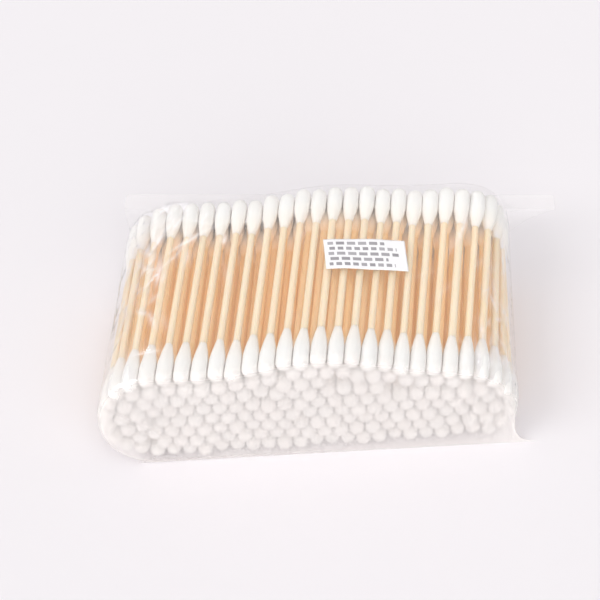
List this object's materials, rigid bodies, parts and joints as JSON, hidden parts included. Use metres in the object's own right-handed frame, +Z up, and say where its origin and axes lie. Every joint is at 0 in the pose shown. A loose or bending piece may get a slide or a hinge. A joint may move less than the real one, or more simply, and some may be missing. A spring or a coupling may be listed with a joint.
{
  "type": "cotton swab pack",
  "caption": "Sealed clear film bag holding a heap of double-ended cotton swabs with bamboo sticks, with a small plain paper label on top.",
  "frame": {"origin": "middle of the pack's bounding box, on the table", "axes": "+X along the heap to the right, +Y along the swabs to the back seal, +Z up from the table"},
  "size_m": [0.159, 0.1126, 0.0428],
  "materials": {
    "bamboo": "sanded, unvarnished",
    "cotton": "wound cotton wool",
    "film": "clear glossy film",
    "label_paper": "uncoated paper"
  },
  "bodies": {
    "root": {"bottom_row_back_buds": "cotton", "bottom_row_front_buds": "cotton", "bottom_row_sticks": "bamboo", "eighth_row_back_buds": "cotton", "eighth_row_front_buds": "cotton", "eighth_row_sticks": "bamboo", "fifth_row_back_buds": "cotton", "fifth_row_front_buds": "cotton", "fifth_row_sticks": "bamboo", "film_bag": "film", "fourth_row_back_buds": "cotton", "fourth_row_front_buds": "cotton", "fourth_row_sticks": "bamboo", "left_side_back_buds": "cotton", "left_side_front_buds": "cotton", "left_side_sticks": "bamboo", "paper_label": "label_paper", "right_side_back_buds": "cotton", "right_side_front_buds": "cotton", "right_side_sticks": "bamboo", "second_row_back_buds": "cotton", "second_row_front_buds": "cotton", "second_row_sticks": "bamboo", "seventh_row_back_buds": "cotton", "seventh_row_front_buds": "cotton", "seventh_row_sticks": "bamboo", "sixth_row_back_buds": "cotton", "sixth_row_front_buds": "cotton", "sixth_row_sticks": "bamboo", "third_row_back_buds": "cotton", "third_row_front_buds": "cotton", "third_row_sticks": "bamboo", "top_row_back_buds": "cotton", "top_row_front_buds": "cotton", "top_row_sticks": "bamboo"}
  },
  "joints": []
}
